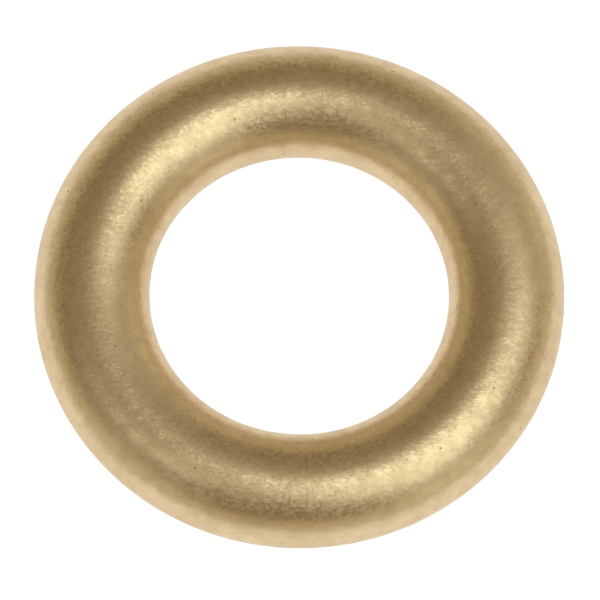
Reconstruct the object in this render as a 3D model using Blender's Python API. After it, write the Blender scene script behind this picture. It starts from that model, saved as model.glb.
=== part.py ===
"""A solid brass ring washer with an oval section, like a small doughnut pressed a little flat.

The ring lies on its lower seat in the plane z = 0, with its axis on Z and the origin on the axis
in that plane. Both sides are the same. Lengths are in metres.
"""

import math

import bmesh
import bpy

# Driving dimensions.
OUTER_DIAMETER = 0.0150
HOLE_DIAMETER = 0.00845
THICKNESS = 0.0026
SEAT_WIDTH = 0.0003  # the flat land along the crest of each side, where the ring seats

# Satin brass.
BRASS_COLOUR = (0.62, 0.44, 0.19, 1.0)
BRASS_ROUGHNESS = 0.38
BRASS_METALLIC = 1.0

# How finely the curves are divided.
STEPS_AROUND = 96
STEPS_ON_FLANK = 12
SHARP_ANGLE = math.radians(40)


def clear_scene():
    for existing in list(bpy.data.objects):
        bpy.data.objects.remove(existing)


def brass():
    material = bpy.data.materials.new("satin_brass")
    material.use_nodes = True
    shader = material.node_tree.nodes["Principled BSDF"]
    shader.inputs["Base Color"].default_value = BRASS_COLOUR
    shader.inputs["Roughness"].default_value = BRASS_ROUGHNESS
    shader.inputs["Metallic"].default_value = BRASS_METALLIC
    material.diffuse_color = BRASS_COLOUR
    return material


def section_outline():
    """The band's cut face as (radius, height) points: half-ellipse flanks joined by the two seats.

    The outer flank runs from its top to its bottom, and the inner one back up to the top.
    """
    band_middle = (OUTER_DIAMETER + HOLE_DIAMETER) / 4
    band_width = (OUTER_DIAMETER - HOLE_DIAMETER) / 2
    flank_reach = (band_width - SEAT_WIDTH) / 2
    half_thickness = THICKNESS / 2
    outline = []
    for side in (1, -1):
        for step in range(STEPS_ON_FLANK + 1):
            angle = math.pi * (0.5 - step / STEPS_ON_FLANK)
            offset = SEAT_WIDTH / 2 + flank_reach * math.cos(angle)
            height = half_thickness * (1 + side * math.sin(angle))
            outline.append((band_middle + side * offset, height))
    return outline


def ring():
    """Turns the section once round the Z axis into one closed band."""
    shape = bmesh.new()
    corners = [shape.verts.new((radius, 0, height)) for radius, height in section_outline()]
    edges = [
        shape.edges.new((corner, corners[index - 1])) for index, corner in enumerate(corners)
    ]
    bmesh.ops.spin(
        shape,
        geom=corners + edges,
        cent=(0, 0, 0),
        axis=(0, 0, 1),
        angle=2 * math.pi,
        steps=STEPS_AROUND,
        use_merge=True,
    )
    bmesh.ops.recalc_face_normals(shape, faces=shape.faces)
    mesh = bpy.data.meshes.new("ring")
    shape.to_mesh(mesh)
    shape.free()
    mesh.shade_smooth()
    mesh.set_sharp_from_angle(angle=SHARP_ANGLE)
    mesh.materials.append(brass())
    body = bpy.data.objects.new("ring", mesh)
    bpy.context.scene.collection.objects.link(body)
    return body


clear_scene()
ring()
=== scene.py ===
"""A solid ring washer of tumbled satin brass, modelled in detail round its CAD frame.

The file is laid out as a Blender add-on and run as a script. Everything is in metres, in the frame's own
coordinates: the ring lies flat on z = 0 with its axis on Z.
"""

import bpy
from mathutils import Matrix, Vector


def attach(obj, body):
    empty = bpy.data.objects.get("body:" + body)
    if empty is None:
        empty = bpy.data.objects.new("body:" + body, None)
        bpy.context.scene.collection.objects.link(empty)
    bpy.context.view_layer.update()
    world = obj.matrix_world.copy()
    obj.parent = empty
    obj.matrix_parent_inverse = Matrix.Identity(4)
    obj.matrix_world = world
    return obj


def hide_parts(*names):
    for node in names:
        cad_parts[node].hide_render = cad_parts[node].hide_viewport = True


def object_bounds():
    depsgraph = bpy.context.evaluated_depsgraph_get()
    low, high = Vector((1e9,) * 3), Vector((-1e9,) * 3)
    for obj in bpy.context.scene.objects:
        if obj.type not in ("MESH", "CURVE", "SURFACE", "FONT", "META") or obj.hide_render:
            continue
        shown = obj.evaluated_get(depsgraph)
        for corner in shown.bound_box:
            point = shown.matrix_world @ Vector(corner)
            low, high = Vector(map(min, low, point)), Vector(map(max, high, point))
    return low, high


bl_info = {
    "name": "Brass ring washer",
    "version": (1, 0, 0),
    "blender": (4, 5, 0),
    "location": "3D View > Sidebar > Washer",
    "description": "Models a tumbled brass ring washer and a plain studio to show it in",
    "category": "Object",
}

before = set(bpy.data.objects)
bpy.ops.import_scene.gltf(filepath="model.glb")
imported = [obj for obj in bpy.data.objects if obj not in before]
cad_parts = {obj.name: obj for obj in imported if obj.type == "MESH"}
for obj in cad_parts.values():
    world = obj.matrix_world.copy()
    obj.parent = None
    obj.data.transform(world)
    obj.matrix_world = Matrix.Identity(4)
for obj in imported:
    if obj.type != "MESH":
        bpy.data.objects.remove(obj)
CAD_BOX = [list(corner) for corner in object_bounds()]

import math

import bpy
from mathutils import Matrix, Vector

# What the frame gives.
RING_NODE = "ring"
LOW, HIGH = (Vector(corner) for corner in CAD_BOX)
OUTER_DIAMETER = HIGH.x - LOW.x
THICKNESS = HIGH.z - LOW.z
HOLE_DIAMETER = 2 * min(math.hypot(v.co.x, v.co.y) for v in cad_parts[RING_NODE].data.vertices)

MERGE_DISTANCE = 1e-7

# The middle of a random colour's three channels, which lie from 0 to 1.
HALF = (0.5, 0.5, 0.5)

# Turn of the flakes' pattern. It picks where the flakes fall, and they stay long along X.
FLAKE_TURN = math.radians(-35)

# Radius of a ding over the distance between dings.
DING_SHARE = 0.16

# How the dull clouds and the polish of each flake share in the stain, and what dulls the gloss.
CLOUD_SHARE = 0.65
FLAKE_SHARE = 1 - CLOUD_SHARE
DULL_ROUGHNESS = 0.05
PIT_ROUGHNESS = 0.3

# Sizes of the patches where flecks and pits crowd together, and of the raggedness of a pit's rim.
FLECK_PATCH = 0.0009
PIT_PATCH = 0.0022
PIT_RAGGED_SIZE = 0.00006
PIT_RAGGED_REACH = 0.00007

# Scratches: how wavy they are, how many times longer than wide their cells are, and the turns that
# give separate sets of them. A turn picks where the lines fall, and all of them run along X.
SCRATCH_WAVE = 0.0007
SCRATCH_SWAY = 0.00015
SCRATCH_STRETCH = 16
SCRATCH_TURNS = [math.radians(degrees) for degrees in (20, 75, 140)]


# --- Sizes and looks that a user may change -----------------------------------------------------------


class RingSizes(bpy.types.PropertyGroup):
    outer_diameter: bpy.props.FloatProperty(
        name="Outer diameter",
        description="Across the outside of the ring",
        default=OUTER_DIAMETER,
        unit="LENGTH",
    )
    hole_diameter: bpy.props.FloatProperty(
        name="Hole diameter",
        description="Across the hole at its narrowest",
        default=HOLE_DIAMETER,
        unit="LENGTH",
    )
    thickness: bpy.props.FloatProperty(
        name="Thickness",
        description="Between the crests of the two sides",
        default=THICKNESS,
        unit="LENGTH",
    )
    section_steps: bpy.props.IntProperty(
        name="Section steps",
        description="Points round the oval section",
        default=132,
    )
    turn_steps: bpy.props.IntProperty(
        name="Turn steps",
        description="Copies of the section round the ring",
        default=720,
    )


class BrassFinish(bpy.types.PropertyGroup):
    brass: bpy.props.FloatVectorProperty(
        name="Brass",
        description="Colour of the clean metal",
        default=(0.735, 0.57, 0.36),
        subtype="COLOR",
    )
    tarnish: bpy.props.FloatVectorProperty(
        name="Tarnish",
        description="Colour where the metal has dulled a little",
        default=(0.59, 0.445, 0.265),
        subtype="COLOR",
    )
    # A darker colour mixed into the bottom of each pit.
    pit_bottom_tone: bpy.props.FloatVectorProperty(
        name="Pit bottom tone",
        description="Colour in the bottom of a pit",
        default=(0.34, 0.25, 0.14),
        subtype="COLOR",
    )
    rim_tint: bpy.props.FloatVectorProperty(
        name="Rim tint",
        description="Tint of the glare where the surface turns away from the eye",
        default=(0.9, 0.9, 0.9),
        subtype="COLOR",
    )
    roughness: bpy.props.FloatProperty(
        name="Roughness",
        description="How much the clean metal blurs what it reflects",
        default=0.33,
        min=0,
        max=1,
    )
    cloud_size: bpy.props.FloatProperty(
        name="Cloud size",
        description="Width of the broad clouds of tarnish",
        default=0.0016,
        unit="LENGTH",
    )
    mottle_size: bpy.props.FloatProperty(
        name="Mottle size",
        description="Width of the small clouds of tarnish",
        default=0.0004,
        unit="LENGTH",
    )
    lump_size: bpy.props.FloatProperty(
        name="Lump size",
        description="Length of the long, low waves that tumbling leaves",
        default=0.0013,
        unit="LENGTH",
    )
    lump_depth: bpy.props.FloatProperty(
        name="Lump depth",
        description="Height of those waves",
        default=0.000006,
        unit="LENGTH",
    )
    ripple_size: bpy.props.FloatProperty(
        name="Ripple size",
        description="Length of the fine unevenness",
        default=0.00032,
        unit="LENGTH",
    )
    ripple_depth: bpy.props.FloatProperty(
        name="Ripple depth",
        description="Height of the fine unevenness",
        default=0.0000042,
        unit="LENGTH",
    )
    ding_spacing: bpy.props.FloatProperty(
        name="Ding spacing",
        description="Distance between the shallow dents where rings knocked together",
        default=0.0011,
        unit="LENGTH",
    )
    ding_depth: bpy.props.FloatProperty(
        name="Ding depth",
        description="Depth of those dents",
        default=0.000004,
        unit="LENGTH",
    )
    grain_size: bpy.props.FloatProperty(
        name="Grain size",
        description="Width of the coarsest grain, which frays the edges of reflections",
        default=0.00013,
        unit="LENGTH",
    )
    grain_depth: bpy.props.FloatProperty(
        name="Grain depth",
        description="Height of that grain",
        default=0.000004,
        unit="LENGTH",
    )
    flake_size: bpy.props.FloatProperty(
        name="Flake size",
        description="Width of the tiny flats that catch the light",
        default=0.00005,
        unit="LENGTH",
    )
    flake_tilt: bpy.props.FloatProperty(
        name="Flake tilt",
        description="How far the flats lean",
        default=0.06,
    )
    flake_stretch: bpy.props.FloatProperty(
        name="Flake stretch",
        description="Length of the flats over their width",
        default=1.8,
    )
    polish_range: bpy.props.FloatProperty(
        name="Polish range",
        description="Difference in roughness between the dullest and the brightest flats",
        default=0.13,
    )
    fleck_spacing: bpy.props.FloatProperty(
        name="Fleck spacing",
        description="Distance between the chips that glint",
        default=0.00016,
        unit="LENGTH",
    )
    fleck_radius: bpy.props.FloatProperty(
        name="Fleck radius",
        description="Half the width of those chips",
        default=0.00003,
        unit="LENGTH",
    )
    fleck_tilt: bpy.props.FloatProperty(
        name="Fleck tilt",
        description="How far those chips lean",
        default=0.16,
    )
    fleck_stretch: bpy.props.FloatProperty(
        name="Fleck stretch",
        description="Length of those chips over their width",
        default=1.8,
    )
    pit_spacing: bpy.props.FloatProperty(
        name="Pit spacing",
        description="Distance between casting pits",
        default=0.00042,
        unit="LENGTH",
    )
    pit_radius: bpy.props.FloatProperty(
        name="Pit radius",
        description="Radius of the largest pits",
        default=0.00004,
        unit="LENGTH",
    )
    pit_depth: bpy.props.FloatProperty(
        name="Pit depth",
        description="Depth of the pits",
        default=0.000006,
        unit="LENGTH",
    )
    scratch_spacing: bpy.props.FloatProperty(
        name="Scratch spacing",
        description="Distance between short scratches along their length",
        default=0.0016,
        unit="LENGTH",
    )
    scratch_depth: bpy.props.FloatProperty(
        name="Scratch depth",
        description="Depth of those scratches",
        default=0.0000008,
        unit="LENGTH",
    )


class StudioLook(bpy.types.PropertyGroup):
    floor: bpy.props.FloatVectorProperty(
        name="Floor",
        description="Colour of the white sheet that the ring lies on",
        default=(0.3, 0.3, 0.3),
        subtype="COLOR",
    )
    floor_glow: bpy.props.FloatProperty(
        name="Floor glow",
        description="Light that the sheet lets through from below",
        default=0.93,
    )
    lamp_tint: bpy.props.FloatVectorProperty(
        name="Lamp tint",
        description="Colour of every softbox",
        default=(0.9, 1.0, 0.95),
        subtype="COLOR",
    )
    horizon: bpy.props.FloatVectorProperty(
        name="Horizon",
        description="Glow of the room just above the floor",
        default=(0.4, 0.45, 0.5),
        subtype="COLOR",
    )
    wall: bpy.props.FloatVectorProperty(
        name="Wall",
        description="Light from the pale, warm walls",
        default=(0.7, 0.6, 0.35),
        subtype="COLOR",
    )
    gap: bpy.props.FloatVectorProperty(
        name="Gap",
        description="Light from the dark band above the walls",
        default=(0.2, 0.15, 0.1),
        subtype="COLOR",
    )
    ceiling: bpy.props.FloatVectorProperty(
        name="Ceiling",
        description="Light from the ceiling",
        default=(0.3, 0.25, 0.17),
        subtype="COLOR",
    )
    floor_radius: bpy.props.FloatProperty(
        name="Floor radius",
        description="From the middle of the sheet to its edge",
        default=1.0,
        unit="LENGTH",
    )
    floor_thickness: bpy.props.FloatProperty(
        name="Floor thickness",
        description="Thickness of the sheet",
        default=0.004,
        unit="LENGTH",
    )
    view_tilt: bpy.props.FloatProperty(
        name="View tilt",
        description="Angle between the camera and the ring's axis",
        default=math.radians(20.2),
        subtype="ANGLE",
    )
    view_roll: bpy.props.FloatProperty(
        name="View roll",
        description="Turn of the camera about its own line of sight",
        default=math.radians(1.9),
        subtype="ANGLE",
    )
    view_distance: bpy.props.FloatProperty(
        name="View distance",
        description="From the camera to the middle of the ring",
        default=0.258,
        unit="LENGTH",
    )
    view_width: bpy.props.FloatProperty(
        name="View width",
        description="Width of the view at the ring",
        default=0.01696,
        unit="LENGTH",
    )
    aim_right: bpy.props.FloatProperty(
        name="Aim right",
        description="How far to the right of the ring's middle the camera looks",
        default=0.00002,
        unit="LENGTH",
    )
    aim_down: bpy.props.FloatProperty(
        name="Aim down",
        description="How far below the ring's middle the camera looks",
        default=0.000139,
        unit="LENGTH",
    )


# --- Node trees -----------------------------------------------------------------------------------------


class Wire:
    """One output socket. Sums on it, with numbers or other wires, add their Math nodes."""

    def __init__(self, nodes, socket):
        self.nodes, self.socket = nodes, socket

    def __add__(self, other):
        return self.nodes.maths("ADD", self, other)

    def __sub__(self, other):
        return self.nodes.maths("SUBTRACT", self, other)

    def __mul__(self, other):
        return self.nodes.maths("MULTIPLY", self, other)

    def __rsub__(self, other):
        return self.nodes.maths("SUBTRACT", other, self)

    __radd__ = __add__
    __rmul__ = __mul__

    def rise(self, low, high):
        """0 below low, 1 above high and a smooth step between them; low may be the larger."""
        return self.nodes.add(
            "ShaderNodeMapRange",
            {"interpolation_type": "SMOOTHSTEP"},
            {"Value": self, "From Min": low, "From Max": high},
        )


class Nodes:
    """Adds nodes to one tree and joins them."""

    def __init__(self, tree):
        self.tree = tree

    def feed(self, socket, value):
        if isinstance(value, Wire):
            self.tree.links.new(value.socket, socket)
        else:
            socket.default_value = value

    def add(self, kind, settings=None, sockets=None, output=0):
        """Adds a node with its settings and its sockets' values or links, and gives its output's wire."""
        node = self.tree.nodes.new(kind)
        settings = dict(settings or {})
        stops = settings.pop("stops", None)
        for name, value in settings.items():
            setattr(node, name, value)
        if stops:
            self.set_stops(node.color_ramp, stops)
        for name, value in (sockets or {}).items():
            self.feed(node.inputs[name], value)
        return Wire(self, node.outputs[output])

    def set_stops(self, ramp, stops):
        while len(ramp.elements) < len(stops):
            ramp.elements.new(1.0)
        for element, (position, colour) in zip(ramp.elements, stops):
            element.position = position
            element.color = (*colour, 1.0)

    def maths(self, operation, first, second=0.0):
        return self.add("ShaderNodeMath", {"operation": operation}, {0: first, 1: second})

    def vector(self, operation, first, second=(0.0, 0.0, 0.0)):
        return self.add("ShaderNodeVectorMath", {"operation": operation}, {0: first, 1: second})

    def scaled(self, vector, factor):
        return self.add("ShaderNodeVectorMath", {"operation": "SCALE"}, {0: vector, "Scale": factor})

    def part(self, colour, channel):
        """One channel of a colour: 0 red, 1 green, 2 blue."""
        return self.add("ShaderNodeSeparateColor", {}, {0: colour}, channel)

    def stirred(self, place, size, reach):
        """The place moved about by up to half of reach, in swirls of this size."""
        sockets = {"Vector": place, "Scale": 1 / size, "Detail": 1.0}
        swirl = self.add("ShaderNodeTexNoise", {}, sockets, "Color")
        swirl = self.vector("SUBTRACT", swirl, HALF)
        return self.vector("ADD", place, self.scaled(swirl, reach))

    def stretched(self, place, turn, factor):
        """The place squeezed along X and then turned: a pattern on it comes out longer along X."""
        sockets = {"Vector": place, "Rotation": (0, 0, turn), "Scale": (1 / factor, 1, 1)}
        return self.add("ShaderNodeMapping", {}, sockets)

    def mix(self, factor, first, second):
        """A colour between the two."""
        socket = {0: factor, 6: first, 7: second}
        return self.add("ShaderNodeMix", {"data_type": "RGBA"}, socket, 2)

    def noise(self, place, size, detail=2.0, roughness=0.5):
        """Soft noise from 0 to 1 with features of this size."""
        sockets = {"Vector": place, "Scale": 1 / size, "Detail": detail, "Roughness": roughness}
        return self.add("ShaderNodeTexNoise", {}, sockets)

    def cells(self, place, spacing, output):
        """Scattered cells: the Distance from a cell's centre in spacings, or its random Color."""
        sockets = {"Vector": place, "Scale": 1 / spacing}
        return self.add("ShaderNodeTexVoronoi", {}, sockets, output)

    def bump(self, height, depth, normal=None):
        """The normal over a height from 0 to 1 that stands for this depth."""
        sockets = {"Height": height, "Distance": depth, "Strength": 1.0}
        if normal is not None:
            sockets["Normal"] = normal
        return self.add("ShaderNodeBump", {}, sockets)


def rgba(colour):
    return (*colour, 1.0)


def dullness(nodes, place, finish):
    """Soft clouds of faint tarnish, a few tenths of a millimetre to a few millimetres wide."""
    clouds = nodes.noise(place, finish.cloud_size, 3.0, 0.6).rise(0.36, 0.66)
    mottle = nodes.noise(place, finish.mottle_size, 3.0, 0.65).rise(0.35, 0.65)
    return clouds * 0.5 + mottle * 0.5


def flakes(nodes, place, finish):
    """Tiny stretched flats: how each one leans, and its own polish from 0 to 1."""
    drawn = nodes.stretched(place, FLAKE_TURN, finish.flake_stretch)
    ragged = nodes.stirred(drawn, finish.flake_size * 3, finish.flake_size * 2)
    chance = nodes.cells(ragged, finish.flake_size, "Color")
    lean = nodes.scaled(nodes.vector("SUBTRACT", chance, HALF), finish.flake_tilt)
    return lean, nodes.part(chance, 1)


def flecks(nodes, place, finish):
    """Sparse chips that lean far enough to catch a lamp where the flakes don't."""
    drawn = nodes.stretched(place, 0, finish.fleck_stretch)
    ragged = nodes.stirred(drawn, finish.fleck_radius * 3, finish.fleck_radius * 2)
    reach = finish.fleck_radius / finish.fleck_spacing
    spot = nodes.cells(ragged, finish.fleck_spacing, "Distance").rise(reach, reach * 0.6)
    chance = nodes.cells(ragged, finish.fleck_spacing, "Color")
    crowd = nodes.noise(place, FLECK_PATCH, 2.0).rise(0.38, 0.62)
    lean = nodes.vector("SUBTRACT", chance, HALF)
    return nodes.scaled(lean, spot * (0.3 + 0.7 * crowd) * finish.fleck_tilt)


def pits(nodes, place, finish):
    """Ragged little holes, from 0 beside them to 1 at the bottom, closer together in some places."""
    reach = finish.pit_radius / finish.pit_spacing
    crowd = nodes.noise(place, PIT_PATCH, 1.0).rise(0.35, 0.68)
    ragged = nodes.stirred(place, PIT_RAGGED_SIZE, PIT_RAGGED_REACH)
    holes = nodes.cells(ragged, finish.pit_spacing, "Distance").rise(reach, reach * 0.5)
    return holes * (0.2 + 0.8 * crowd)


def scratches(nodes, place, finish, turn):
    """Thin, slightly wavy lines along X, 1 along their middles, a different set for each turn."""
    wavy = nodes.stirred(place, SCRATCH_WAVE, SCRATCH_SWAY)
    squeeze = (1, SCRATCH_STRETCH, SCRATCH_STRETCH)
    sockets = {"Vector": wavy, "Rotation": (0, 0, turn), "Scale": squeeze}
    narrowed = nodes.add("ShaderNodeMapping", {}, sockets)
    return nodes.cells(narrowed, finish.scratch_spacing, "Distance").rise(0.12, 0.04)


def brass_material(finish):
    """Satin brass: a glinting grain over blurred metal, with dull clouds, pits that are darker at the
    bottom and fine scratches.
    """
    material = bpy.data.materials.new("tumbled_brass")
    material.use_nodes = True
    nodes = Nodes(material.node_tree)
    shader = material.node_tree.nodes["Principled BSDF"]
    place = nodes.add("ShaderNodeTexCoord", output="Object")

    dull = dullness(nodes, place, finish)
    lean, polish = flakes(nodes, place, finish)
    lean = nodes.vector("ADD", lean, flecks(nodes, place, finish))
    smooth = nodes.add("ShaderNodeNewGeometry", output="Normal")
    leaning = nodes.vector("NORMALIZE", nodes.vector("ADD", smooth, lean))
    holes = pits(nodes, place, finish)
    lines = sum(scratches(nodes, place, finish, turn) for turn in SCRATCH_TURNS)

    grain = nodes.noise(place, finish.grain_size, 3.0, 0.55)
    normal = nodes.bump(grain, finish.grain_depth, leaning)
    normal = nodes.bump(1 - lines, finish.scratch_depth, normal)
    normal = nodes.bump(1 - holes, finish.pit_depth, normal)

    stain = dull * CLOUD_SHARE + (1 - polish) * FLAKE_SHARE
    colour = nodes.mix(stain, rgba(finish.brass), rgba(finish.tarnish))
    # The bottom of each pit is coloured darker than the brass round it.
    colour = nodes.mix(holes, colour, rgba(finish.pit_bottom_tone))
    roughness = finish.roughness + (polish - 0.5) * finish.polish_range
    roughness = roughness + dull * DULL_ROUGHNESS + holes * PIT_ROUGHNESS
    nodes.feed(shader.inputs["Base Color"], colour)
    nodes.feed(shader.inputs["Metallic"], 1.0)
    nodes.feed(shader.inputs["Roughness"], roughness)
    nodes.feed(shader.inputs["Specular Tint"], rgba(finish.rim_tint))
    nodes.feed(shader.inputs["Normal"], normal)
    return material


# --- The ring -------------------------------------------------------------------------------------------


def oval_section(sizes):
    """A circle at the middle of the band, pressed to the ring's thickness."""
    band = (sizes.outer_diameter - sizes.hole_diameter) / 2
    middle = (sizes.outer_diameter + sizes.hole_diameter) / 4
    bpy.ops.object.select_all(action="DESELECT")
    bpy.ops.mesh.primitive_circle_add(
        vertices=sizes.section_steps,
        radius=band / 2,
        fill_type="NOTHING",
        location=(middle, 0, sizes.thickness / 2),
        rotation=(math.pi / 2, 0, 0),
    )
    section = bpy.context.object
    bpy.ops.object.transform_apply(location=True, rotation=True, scale=False)
    bpy.ops.object.mode_set(mode="EDIT")
    bpy.ops.mesh.select_all(action="SELECT")
    bpy.ops.transform.resize(
        value=(1, 1, sizes.thickness / band),
        orient_type="GLOBAL",
        center_override=(middle, 0, sizes.thickness / 2),
    )
    bpy.ops.object.mode_set(mode="OBJECT")
    return section


def turned_ring(sizes):
    """The section spun once round the ring's axis and closed on itself."""
    ring = oval_section(sizes)
    ring.name = ring.data.name = "brass_ring"
    bpy.ops.object.mode_set(mode="EDIT")
    bpy.ops.mesh.select_all(action="SELECT")
    bpy.ops.mesh.spin(
        steps=sizes.turn_steps,
        angle=2 * math.pi,
        center=(0, 0, 0),
        axis=(0, 0, 1),
    )
    bpy.ops.mesh.select_all(action="SELECT")
    bpy.ops.mesh.remove_doubles(threshold=MERGE_DISTANCE)
    bpy.ops.mesh.normals_make_consistent(inside=False)
    bpy.ops.object.mode_set(mode="OBJECT")
    bpy.ops.object.shade_smooth()
    return ring


def press_in(ring, texture, depth):
    """Sinks the surface by up to this depth, by the texture, and never lifts it."""
    press = ring.modifiers.new(texture.name, "DISPLACE")
    press.texture = texture
    press.texture_coords = "LOCAL"
    press.direction = "NORMAL"
    press.mid_level = 1.0
    press.strength = depth
    bpy.ops.object.modifier_apply(modifier=press.name)


def wave_texture(name, size, octaves):
    texture = bpy.data.textures.new(name, "CLOUDS")
    texture.noise_scale = size
    texture.noise_depth = octaves
    return texture


def ding_texture(name, spacing, radius_share):
    """White but for a black spot round each scattered centre."""
    texture = bpy.data.textures.new(name, "VORONOI")
    texture.noise_scale = spacing
    texture.use_color_ramp = True
    ramp = texture.color_ramp
    ramp.interpolation = "EASE"
    ramp.elements[0].position = 0.0
    ramp.elements[0].color = (0, 0, 0, 1)
    ramp.elements[1].position = radius_share
    ramp.elements[1].color = (1, 1, 1, 1)
    return texture


def tumble(ring, finish):
    """The unevenness that a cast ring keeps after it is tumbled smooth, as real dents in the mesh."""
    press_in(ring, wave_texture("lumps", finish.lump_size, 1), finish.lump_depth)
    press_in(ring, wave_texture("ripples", finish.ripple_size, 1), finish.ripple_depth)
    press_in(ring, ding_texture("dings", finish.ding_spacing, DING_SHARE), finish.ding_depth)


class AddRing(bpy.types.Operator):
    """Turn the oval section into the solid ring, tumble it and give it its satin brass"""

    bl_idname = "washer.add_ring"
    bl_label = "Add ring"
    bl_options = {"REGISTER", "UNDO"}

    def execute(self, context):
        sizes, finish = context.scene.ring_sizes, context.scene.brass_finish
        ring = turned_ring(sizes)
        tumble(ring, finish)
        ring.data.materials.append(brass_material(finish))
        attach(ring, "root")
        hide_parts(RING_NODE)
        return {"FINISHED"}


# --- The studio -----------------------------------------------------------------------------------------

# Softboxes and cards: name, elevation, azimuth and half width in degrees from the ring, brightness.
LAMPS = [
    ("key", 70, -5, 15, 1.0),
    ("diffuser", 66, -10, 26, 0.7),
    ("side", 55, -40, 12, 0.6),
    ("fill", 63, 205, 11, 0.9),
    ("top", 85, 60, 9, 0.9),
    ("right_card", 38, 40, 22, 0.25),
    ("front_card", 30, -40, 18, 0.45),
    ("back_card", 30, 215, 18, 0.3),
]
LAMP_DISTANCE = 0.45

# Elevations in degrees of the horizon, the foot and the top of the walls, the gap and the ceiling.
ROOM_HEIGHTS = (3, 10, 20, 30, 50)


def direction(elevation, azimuth):
    """The unit vector to this elevation and azimuth, in degrees, with +X at azimuth 0."""
    high, round_ = math.radians(elevation), math.radians(azimuth)
    flat = math.cos(high)
    return Vector((flat * math.cos(round_), flat * math.sin(round_), math.sin(high)))


def add_lamp(name, elevation, azimuth, half_width, brightness, tint, target):
    """A round softbox that faces the ring, as bright as told wherever it is seen from."""
    radius = LAMP_DISTANCE * math.tan(math.radians(half_width))
    data = bpy.data.lights.new(name, "AREA")
    data.shape = "DISK"
    data.size = 2 * radius
    data.color = tint
    data.energy = brightness * math.pi * (math.pi * radius * radius)
    lamp = bpy.data.objects.new(name, data)
    towards = direction(elevation, azimuth)
    lamp.location = target + towards * LAMP_DISTANCE
    lamp.rotation_euler = towards.to_track_quat("Z", "Y").to_euler()
    lamp.visible_camera = False
    bpy.context.scene.collection.objects.link(lamp)
    return lamp


def add_room(look):
    """A dim, warm room: a glow along the floor, pale walls, a dark gap and a ceiling."""
    world = bpy.data.worlds.new("room")
    world.use_nodes = True
    bpy.context.scene.world = world
    nodes = Nodes(world.node_tree)
    way = nodes.add("ShaderNodeTexCoord", output="Generated")
    height = nodes.add("ShaderNodeSeparateXYZ", {}, {0: way}, 2)
    bands = zip(ROOM_HEIGHTS, (look.horizon, look.wall, look.wall, look.gap, look.ceiling))
    stops = [(math.sin(math.radians(elevation)), colour) for elevation, colour in bands]
    light = nodes.add("ShaderNodeValToRGB", {"stops": stops}, {0: height})
    background = world.node_tree.nodes["Background"]
    nodes.feed(background.inputs["Color"], light)


def floor_material(look):
    material = bpy.data.materials.new("white_sheet")
    material.use_nodes = True
    shader = material.node_tree.nodes["Principled BSDF"]
    shader.inputs["Base Color"].default_value = rgba(look.floor)
    shader.inputs["Roughness"].default_value = 0.9
    shader.inputs["Specular IOR Level"].default_value = 0.1
    shader.inputs["Emission Color"].default_value = (1, 1, 1, 1)
    shader.inputs["Emission Strength"].default_value = look.floor_glow
    return material


def add_floor(look):
    """A round white sheet with a softened edge, its top at the ring's foot."""
    bpy.ops.object.select_all(action="DESELECT")
    bpy.ops.mesh.primitive_circle_add(
        vertices=96,
        radius=look.floor_radius,
        fill_type="NGON",
        location=(0, 0, LOW.z),
    )
    floor = bpy.context.object
    floor.name = "floor"
    bpy.ops.object.transform_apply(location=True, rotation=False, scale=False)
    bpy.ops.object.mode_set(mode="EDIT")
    bpy.ops.mesh.select_all(action="SELECT")
    bpy.ops.mesh.extrude_region_move(TRANSFORM_OT_translate={"value": (0, 0, -look.floor_thickness)})
    bpy.ops.mesh.select_all(action="SELECT")
    bpy.ops.mesh.normals_make_consistent(inside=False)
    bpy.ops.mesh.bevel(offset=look.floor_thickness / 4, segments=3)
    bpy.ops.object.mode_set(mode="OBJECT")
    floor.data.materials.append(floor_material(look))
    return floor


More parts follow.
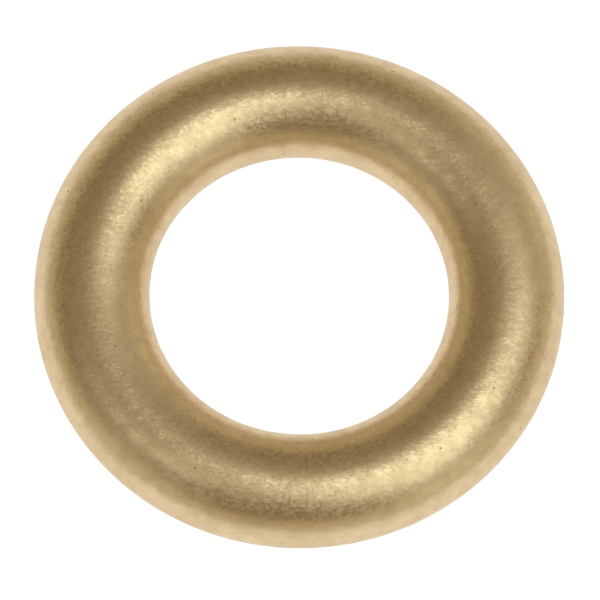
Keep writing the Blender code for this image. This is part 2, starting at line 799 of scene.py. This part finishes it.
def add_camera(look, target):
    """Looks down at the ring, tilted towards its near side and rolled a little."""
    back = Vector((0, -math.sin(look.view_tilt), math.cos(look.view_tilt)))
    turn = back.to_track_quat("Z", "Y").to_matrix() @ Matrix.Rotation(look.view_roll, 3, "Z")
    data = bpy.data.cameras.new("camera")
    data.lens = data.sensor_width * look.view_distance / look.view_width
    data.clip_start = look.view_distance / 100
    data.clip_end = look.view_distance * 100
    camera = bpy.data.objects.new("camera", data)
    aside = turn @ Vector((look.aim_right, -look.aim_down, 0))
    camera.matrix_world = Matrix.Translation(target + back * look.view_distance + aside) @ turn.to_4x4()
    bpy.context.scene.collection.objects.link(camera)
    bpy.context.scene.camera = camera
    return camera


class AddStage(bpy.types.Operator):
    """Add the white floor, the softboxes, the room and the camera"""

    bl_idname = "washer.add_stage"
    bl_label = "Add stage"
    bl_options = {"REGISTER", "UNDO"}

    def execute(self, context):
        look = context.scene.studio_look
        middle = (LOW + HIGH) / 2
        add_floor(look)
        add_room(look)
        for lamp in LAMPS:
            add_lamp(*lamp, look.lamp_tint, middle)
        add_camera(look, middle)
        context.scene.view_settings.view_transform = "Standard"
        return {"FINISHED"}


class WasherPanel(bpy.types.Panel):
    """Lists what the add-on can add, with the sizes and looks that it uses"""

    bl_idname = "VIEW3D_PT_washer"
    bl_label = "Brass ring washer"
    bl_space_type = "VIEW_3D"
    bl_region_type = "UI"
    bl_category = "Washer"

    def draw(self, context):
        for group, operator in (
            ("ring_sizes", None),
            ("brass_finish", AddRing),
            ("studio_look", AddStage),
        ):
            box = self.layout.box()
            settings = getattr(context.scene, group)
            for name in settings.__annotations__:
                box.prop(settings, name)
            if operator:
                box.operator(operator.bl_idname)


CLASSES = (RingSizes, BrassFinish, StudioLook, AddRing, AddStage, WasherPanel)


def register():
    for item in CLASSES:
        bpy.utils.register_class(item)
    bpy.types.Scene.ring_sizes = bpy.props.PointerProperty(type=RingSizes)
    bpy.types.Scene.brass_finish = bpy.props.PointerProperty(type=BrassFinish)
    bpy.types.Scene.studio_look = bpy.props.PointerProperty(type=StudioLook)


def unregister():
    del bpy.types.Scene.ring_sizes
    del bpy.types.Scene.brass_finish
    del bpy.types.Scene.studio_look
    for item in reversed(CLASSES):
        bpy.utils.unregister_class(item)


def main():
    register()
    bpy.ops.washer.add_ring()
    bpy.ops.washer.add_stage()


if __name__ == "__main__":
    main()
